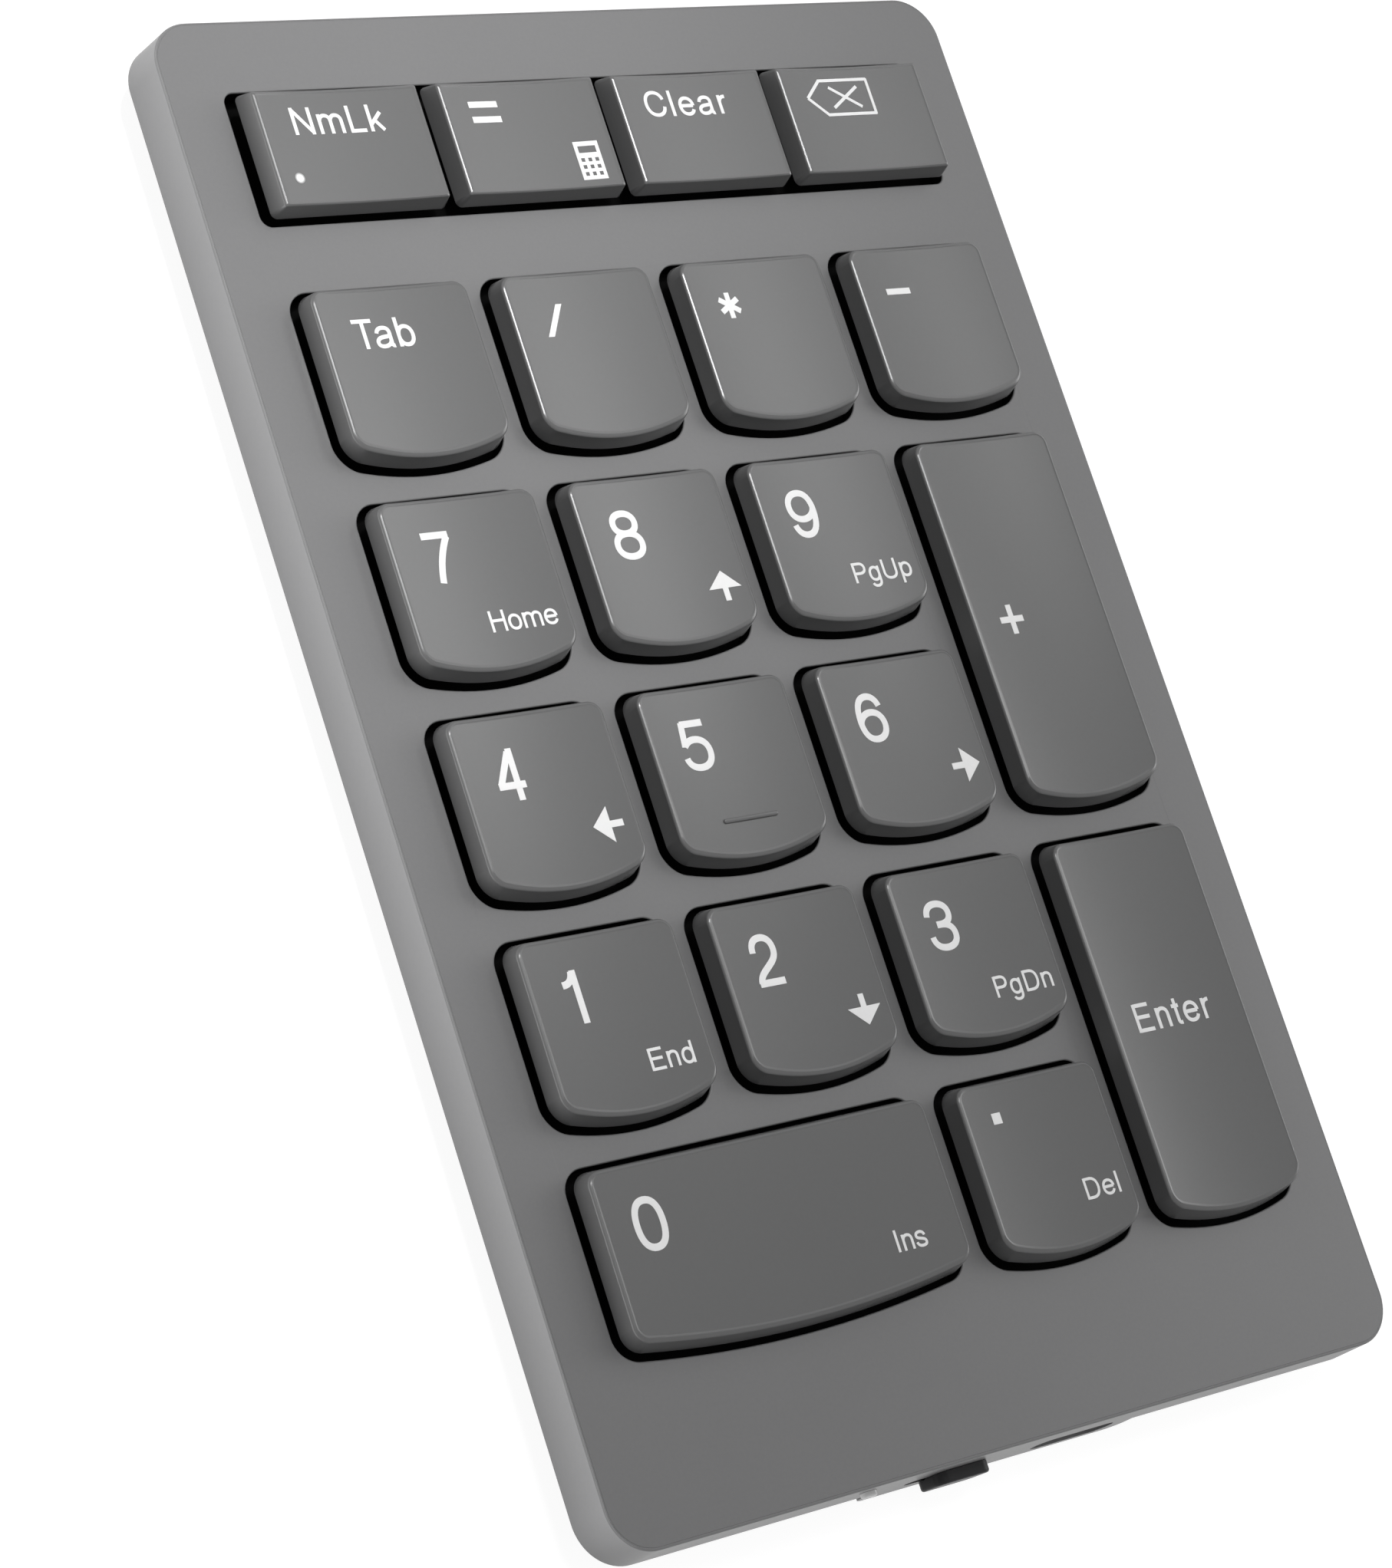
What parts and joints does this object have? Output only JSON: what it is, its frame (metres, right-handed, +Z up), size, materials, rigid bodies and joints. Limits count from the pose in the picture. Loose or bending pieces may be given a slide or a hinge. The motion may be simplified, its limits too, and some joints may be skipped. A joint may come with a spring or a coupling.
{
  "type": "numeric keypad",
  "caption": "Slim wireless numeric keypad: flat grey case with sprung scissor keys, a slide switch, a light window and a charging socket in its front edge",
  "frame": {"origin": "on the table under the middle of the keypad's box", "axes": "+X to the right of the keys, +Y towards the function row at the back, +Z up out of the keys"},
  "size_m": [0.0852, 0.1326, 0.0104],
  "materials": {
    "case": "satin grey moulded plastic, fine matte grain",
    "key": "satin grey keycaps with pale printed legends",
    "cover": "matte grey moulded underside",
    "foot": "matte dark rubber",
    "window": "pale translucent light window",
    "socket": "bright formed steel",
    "black_plastic": "near-black satin plastic",
    "scissor": "black moulded plastic",
    "dome": "black silicone rubber",
    "film": "black film",
    "plate": "plain stamped steel",
    "board": "green solder mask",
    "cell": "dull foil pouch"
  },
  "bodies": {
    "case": {"top_case": "case", "bottom_cover": "cover", "foot_front": "foot", "foot_back": "foot", "light_window": "window", "socket_shell": "socket", "socket_tongue": "black_plastic", "dome_sheet": "dome", "membrane": "film", "backplate": "plate", "control_board": "board", "battery_cell": "cell", "switch_body": "black_plastic", "scissor_number_lock": "scissor", "scissor_equals": "scissor", "scissor_clear": "scissor", "scissor_backspace": "scissor", "scissor_tab": "scissor", "scissor_divide": "scissor", "scissor_multiply": "scissor", "scissor_minus": "scissor", "scissor_seven": "scissor", "scissor_eight": "scissor", "scissor_nine": "scissor", "scissor_plus_a": "scissor", "scissor_plus_b": "scissor", "scissor_four": "scissor", "scissor_five": "scissor", "scissor_six": "scissor", "scissor_one": "scissor", "scissor_two": "scissor", "scissor_three": "scissor", "scissor_enter_a": "scissor", "scissor_enter_b": "scissor", "scissor_zero_a": "scissor", "scissor_zero_b": "scissor", "scissor_point": "scissor"},
    "key_number_lock": {"key_number_lock": "key"},
    "key_equals": {"key_equals": "key"},
    "key_clear": {"key_clear": "key"},
    "key_backspace": {"key_backspace": "key"},
    "key_tab": {"key_tab": "key"},
    "key_divide": {"key_divide": "key"},
    "key_multiply": {"key_multiply": "key"},
    "key_minus": {"key_minus": "key"},
    "key_seven": {"key_seven": "key"},
    "key_eight": {"key_eight": "key"},
    "key_nine": {"key_nine": "key"},
    "key_plus": {"key_plus": "key"},
    "key_four": {"key_four": "key"},
    "key_five": {"key_five": "key"},
    "key_six": {"key_six": "key"},
    "key_one": {"key_one": "key"},
    "key_two": {"key_two": "key"},
    "key_three": {"key_three": "key"},
    "key_enter": {"key_enter": "key"},
    "key_zero": {"key_zero": "key"},
    "key_point": {"key_point": "key"},
    "switch_knob": {"switch_knob": "black_plastic"}
  },
  "joints": [
    {"name": "press_number_lock", "type": "slide", "parent": "case", "child": "key_number_lock", "axis": [0, 0, -1], "range_m": [0, 0.0018], "stiffness_N_per_m": 250, "springref_m": -0.0008, "deforming": ["scissor_number_lock", "dome_sheet"]},
    {"name": "press_equals", "type": "slide", "parent": "case", "child": "key_equals", "axis": [0, 0, -1], "range_m": [0, 0.0018], "stiffness_N_per_m": 250, "springref_m": -0.0008, "deforming": ["scissor_equals", "dome_sheet"]},
    {"name": "press_clear", "type": "slide", "parent": "case", "child": "key_clear", "axis": [0, 0, -1], "range_m": [0, 0.0018], "stiffness_N_per_m": 250, "springref_m": -0.0008, "deforming": ["scissor_clear", "dome_sheet"]},
    {"name": "press_backspace", "type": "slide", "parent": "case", "child": "key_backspace", "axis": [0, 0, -1], "range_m": [0, 0.0018], "stiffness_N_per_m": 250, "springref_m": -0.0008, "deforming": ["scissor_backspace", "dome_sheet"]},
    {"name": "press_tab", "type": "slide", "parent": "case", "child": "key_tab", "axis": [0, 0, -1], "range_m": [0, 0.0018], "stiffness_N_per_m": 250, "springref_m": -0.0008, "deforming": ["scissor_tab", "dome_sheet"]},
    {"name": "press_divide", "type": "slide", "parent": "case", "child": "key_divide", "axis": [0, 0, -1], "range_m": [0, 0.0018], "stiffness_N_per_m": 250, "springref_m": -0.0008, "deforming": ["scissor_divide", "dome_sheet"]},
    {"name": "press_multiply", "type": "slide", "parent": "case", "child": "key_multiply", "axis": [0, 0, -1], "range_m": [0, 0.0018], "stiffness_N_per_m": 250, "springref_m": -0.0008, "deforming": ["scissor_multiply", "dome_sheet"]},
    {"name": "press_minus", "type": "slide", "parent": "case", "child": "key_minus", "axis": [0, 0, -1], "range_m": [0, 0.0018], "stiffness_N_per_m": 250, "springref_m": -0.0008, "deforming": ["scissor_minus", "dome_sheet"]},
    {"name": "press_seven", "type": "slide", "parent": "case", "child": "key_seven", "axis": [0, 0, -1], "range_m": [0, 0.0018], "stiffness_N_per_m": 250, "springref_m": -0.0008, "deforming": ["scissor_seven", "dome_sheet"]},
    {"name": "press_eight", "type": "slide", "parent": "case", "child": "key_eight", "axis": [0, 0, -1], "range_m": [0, 0.0018], "stiffness_N_per_m": 250, "springref_m": -0.0008, "deforming": ["scissor_eight", "dome_sheet"]},
    {"name": "press_nine", "type": "slide", "parent": "case", "child": "key_nine", "axis": [0, 0, -1], "range_m": [0, 0.0018], "stiffness_N_per_m": 250, "springref_m": -0.0008, "deforming": ["scissor_nine", "dome_sheet"]},
    {"name": "press_plus", "type": "slide", "parent": "case", "child": "key_plus", "axis": [0, 0, -1], "range_m": [0, 0.0018], "stiffness_N_per_m": 250, "springref_m": -0.0008, "deforming": ["scissor_plus_a", "scissor_plus_b", "dome_sheet"]},
    {"name": "press_four", "type": "slide", "parent": "case", "child": "key_four", "axis": [0, 0, -1], "range_m": [0, 0.0018], "stiffness_N_per_m": 250, "springref_m": -0.0008, "deforming": ["scissor_four", "dome_sheet"]},
    {"name": "press_five", "type": "slide", "parent": "case", "child": "key_five", "axis": [0, 0, -1], "range_m": [0, 0.0018], "stiffness_N_per_m": 250, "springref_m": -0.0008, "deforming": ["scissor_five", "dome_sheet"]},
    {"name": "press_six", "type": "slide", "parent": "case", "child": "key_six", "axis": [0, 0, -1], "range_m": [0, 0.0018], "stiffness_N_per_m": 250, "springref_m": -0.0008, "deforming": ["scissor_six", "dome_sheet"]},
    {"name": "press_one", "type": "slide", "parent": "case", "child": "key_one", "axis": [0, 0, -1], "range_m": [0, 0.0018], "stiffness_N_per_m": 250, "springref_m": -0.0008, "deforming": ["scissor_one", "dome_sheet"]},
    {"name": "press_two", "type": "slide", "parent": "case", "child": "key_two", "axis": [0, 0, -1], "range_m": [0, 0.0018], "stiffness_N_per_m": 250, "springref_m": -0.0008, "deforming": ["scissor_two", "dome_sheet"]},
    {"name": "press_three", "type": "slide", "parent": "case", "child": "key_three", "axis": [0, 0, -1], "range_m": [0, 0.0018], "stiffness_N_per_m": 250, "springref_m": -0.0008, "deforming": ["scissor_three", "dome_sheet"]},
    {"name": "press_enter", "type": "slide", "parent": "case", "child": "key_enter", "axis": [0, 0, -1], "range_m": [0, 0.0018], "stiffness_N_per_m": 250, "springref_m": -0.0008, "deforming": ["scissor_enter_a", "scissor_enter_b", "dome_sheet"]},
    {"name": "press_zero", "type": "slide", "parent": "case", "child": "key_zero", "axis": [0, 0, -1], "range_m": [0, 0.0018], "stiffness_N_per_m": 250, "springref_m": -0.0008, "deforming": ["scissor_zero_a", "scissor_zero_b", "dome_sheet"]},
    {"name": "press_point", "type": "slide", "parent": "case", "child": "key_point", "axis": [0, 0, -1], "range_m": [0, 0.0018], "stiffness_N_per_m": 250, "springref_m": -0.0008, "deforming": ["scissor_point", "dome_sheet"]},
    {"name": "slide_switch", "type": "slide", "parent": "case", "child": "switch_knob", "axis": [-1, 0, 0], "range_m": [0, 0.002]}
  ]
}
